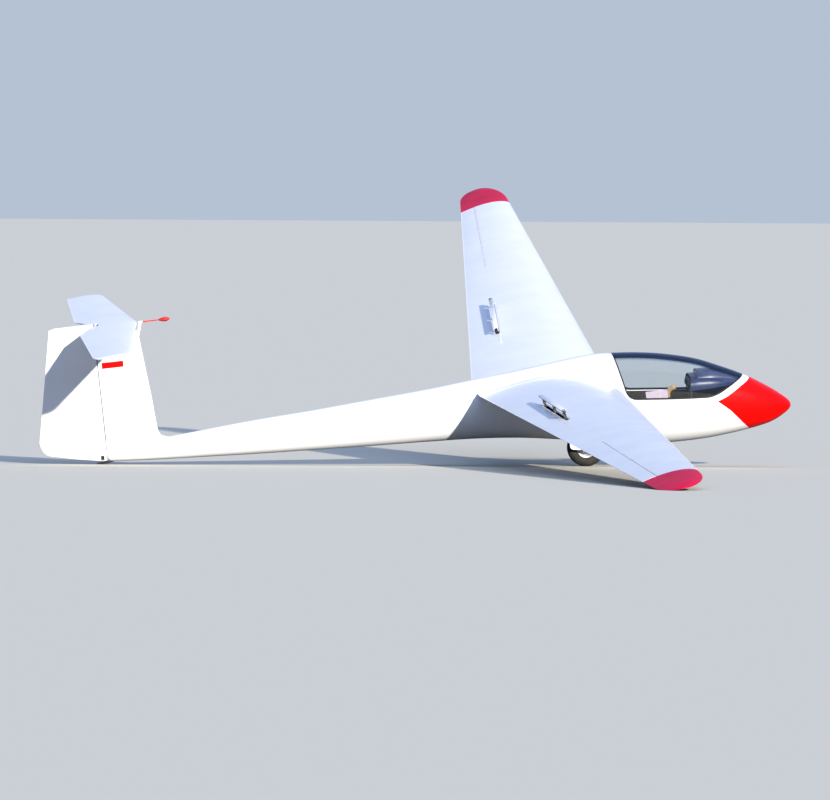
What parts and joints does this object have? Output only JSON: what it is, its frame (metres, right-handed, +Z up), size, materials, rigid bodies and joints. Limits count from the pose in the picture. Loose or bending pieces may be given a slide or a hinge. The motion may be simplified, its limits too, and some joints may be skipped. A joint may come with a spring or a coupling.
{
  "type": "sailplane glider",
  "caption": "Single-seat sailplane glider parked on its main wheel, tail skid and right wing tip, with its airbrakes raised and its clear canopy closed.",
  "frame": {"origin": "on the ground, under the middle of the parked aircraft's bounding box", "axes": "+X towards the nose along the ground, +Y towards the raised left wing tip, +Z up; the airframe is pitched nose up by 6.8 degrees and rolled 8.4 degrees to the right as it parks"},
  "size_m": [6.9892, 16.8016, 2.5703],
  "materials": {
    "white_gelcoat": "gloss",
    "white_lacquered_wood": "gloss",
    "red_gelcoat": "gloss",
    "crimson_lacquered_wood": "gloss",
    "canopy_acrylic": "clear",
    "black_laminate": "matt",
    "brown_laminate": "matt",
    "blue_plastic": "satin",
    "black_fabric": "woven",
    "navy_cover": "satin",
    "tan_leather": "worn",
    "paper": "matt",
    "black_enamel": "satin",
    "plated_steel": "satin",
    "cast_alloy": "cast",
    "tyre_rubber": "matt"
  },
  "bodies": {
    "airframe": {"fuselage": "white_gelcoat", "cockpit_tub": "white_gelcoat", "nose_cone": "red_gelcoat", "seat_shell": "black_laminate", "back_cushion": "black_fabric", "seat_cushion": "black_fabric", "instrument_cover": "navy_cover", "instrument_panel": "black_laminate", "stick_boot": "black_fabric", "control_stick": "plated_steel", "stick_grip": "tan_leather", "side_pocket": "black_fabric", "folded_chart": "paper", "airbrake_lever": "blue_plastic", "main_axle": "plated_steel", "gear_fork": "plated_steel", "gear_door_left": "white_gelcoat", "gear_door_right": "white_gelcoat", "tow_hook": "plated_steel", "tail_skid": "plated_steel", "fin": "white_lacquered_wood", "tailplane_bracket": "plated_steel", "probe_gusset": "black_laminate", "probe_stub": "white_gelcoat", "probe_tube": "red_gelcoat", "probe_cover": "red_gelcoat", "wing_left": "white_lacquered_wood", "wing_right": "white_lacquered_wood", "wing_tip_left": "crimson_lacquered_wood", "wing_tip_right": "crimson_lacquered_wood", "airbrake_box_left": "brown_laminate", "airbrake_box_right": "brown_laminate"},
    "canopy": {"canopy_frame": "white_gelcoat", "canopy_glass": "canopy_acrylic"},
    "wheel": {"main_tyre": "tyre_rubber", "main_wheel": "cast_alloy"},
    "rudder": {"rudder": "white_lacquered_wood"},
    "tailplane": {"tailplane": "white_lacquered_wood"},
    "aileron_left": {"aileron_left": "white_lacquered_wood"},
    "aileron_right": {"aileron_right": "white_lacquered_wood"},
    "brake_middle_left": {"airbrake_arm_middle_left": "black_enamel"},
    "brake_inner_left": {"airbrake_arm_inner_left": "black_enamel"},
    "brake_outer_left": {"airbrake_arm_outer_left": "black_enamel"},
    "brake_cap_left": {"airbrake_cap_left": "white_gelcoat"},
    "brake_middle_right": {"airbrake_arm_middle_right": "black_enamel"},
    "brake_inner_right": {"airbrake_arm_inner_right": "black_enamel"},
    "brake_outer_right": {"airbrake_arm_outer_right": "black_enamel"},
    "brake_cap_right": {"airbrake_cap_right": "white_gelcoat"}
  },
  "joints": [
    {"name": "wheel_spin", "type": "hinge", "parent": "airframe", "child": "wheel", "pos_m": [1.59035, 0.1697, 0.17854], "axis": [-0.0177, 0.9887, 0.1489], "continuous": true},
    {"name": "canopy_hinge", "type": "hinge", "parent": "airframe", "child": "canopy", "pos_m": [2.3781, -0.18648, 0.62566], "axis": [0.9981, 0.049, 0.0375], "range_deg": [0, 80]},
    {"name": "rudder_hinge", "type": "hinge", "parent": "airframe", "child": "rudder", "pos_m": [-2.95748, 0.01672, 0.65376], "axis": [-0.1166, -0.15, 0.9818], "range_deg": [-30, 30]},
    {"name": "tailplane_pivot", "type": "hinge", "parent": "airframe", "child": "tailplane", "pos_m": [-2.76239, -0.07717, 1.30021], "axis": [-0.0177, 0.9887, 0.1489], "range_deg": [-8, 8]},
    {"name": "aileron_left_hinge", "type": "hinge", "parent": "airframe", "child": "aileron_left", "pos_m": [1.11355, 6.21844, 2.07026], "axis": [0.0447, 0.9764, 0.2115], "range_deg": [-20, 20]},
    {"name": "aileron_right_hinge", "type": "hinge", "parent": "airframe", "child": "aileron_right", "pos_m": [1.33546, -6.18071, 0.2025], "axis": [-0.0799, 0.9932, 0.0852], "range_deg": [-20, 20]},
    {"name": "brake_middle_left_hinge", "type": "hinge", "parent": "airframe", "child": "brake_middle_left", "pos_m": [0.9619, 2.60035, 1.29981], "axis": [-0.958, 0.1002, -0.2688], "range_deg": [0, 82]},
    {"name": "brake_inner_left_hinge", "type": "hinge", "parent": "airframe", "child": "brake_inner_left", "pos_m": [0.93846, 2.08232, 1.1903], "axis": [-0.958, 0.1002, -0.2688], "range_deg": [0, 82]},
    {"name": "brake_outer_left_hinge", "type": "hinge", "parent": "airframe", "child": "brake_outer_left", "pos_m": [0.98534, 3.11838, 1.40933], "axis": [-0.958, 0.1002, -0.2688], "range_deg": [0, 82]},
    {"name": "brake_cap_left_hinge", "type": "hinge", "parent": "brake_middle_left", "child": "brake_cap_left", "pos_m": [0.93556, 2.58306, 1.38724], "axis": [-0.958, 0.1002, -0.2688], "range_deg": [-82, 0]},
    {"name": "brake_middle_right_hinge", "type": "hinge", "parent": "airframe", "child": "brake_middle_right", "pos_m": [1.05325, -2.5038, 0.53094], "axis": [0.9553, 0.05, 0.2914], "range_deg": [0, 82]},
    {"name": "brake_inner_right_hinge", "type": "hinge", "parent": "airframe", "child": "brake_inner_right", "pos_m": [1.01113, -1.97765, 0.57872], "axis": [0.9553, 0.05, 0.2914], "range_deg": [0, 82]},
    {"name": "brake_outer_right_hinge", "type": "hinge", "parent": "airframe", "child": "brake_outer_right", "pos_m": [1.09538, -3.02996, 0.48317], "axis": [0.9553, 0.05, 0.2914], "range_deg": [0, 82]},
    {"name": "brake_cap_right_hinge", "type": "hinge", "parent": "brake_middle_right", "child": "brake_cap_right", "pos_m": [1.02679, -2.51396, 0.61945], "axis": [0.9553, 0.05, 0.2914], "range_deg": [-82, 0]}
  ],
  "couplings": [
    {"joint": "aileron_right_hinge", "follows": "aileron_left_hinge", "ratio": -1},
    {"joint": "brake_inner_left_hinge", "follows": "brake_middle_left_hinge", "ratio": 1},
    {"joint": "brake_outer_left_hinge", "follows": "brake_middle_left_hinge", "ratio": 1},
    {"joint": "brake_cap_left_hinge", "follows": "brake_middle_left_hinge", "ratio": -1},
    {"joint": "brake_middle_right_hinge", "follows": "brake_middle_left_hinge", "ratio": 1},
    {"joint": "brake_inner_right_hinge", "follows": "brake_middle_left_hinge", "ratio": 1},
    {"joint": "brake_outer_right_hinge", "follows": "brake_middle_left_hinge", "ratio": 1},
    {"joint": "brake_cap_right_hinge", "follows": "brake_middle_left_hinge", "ratio": -1}
  ]
}
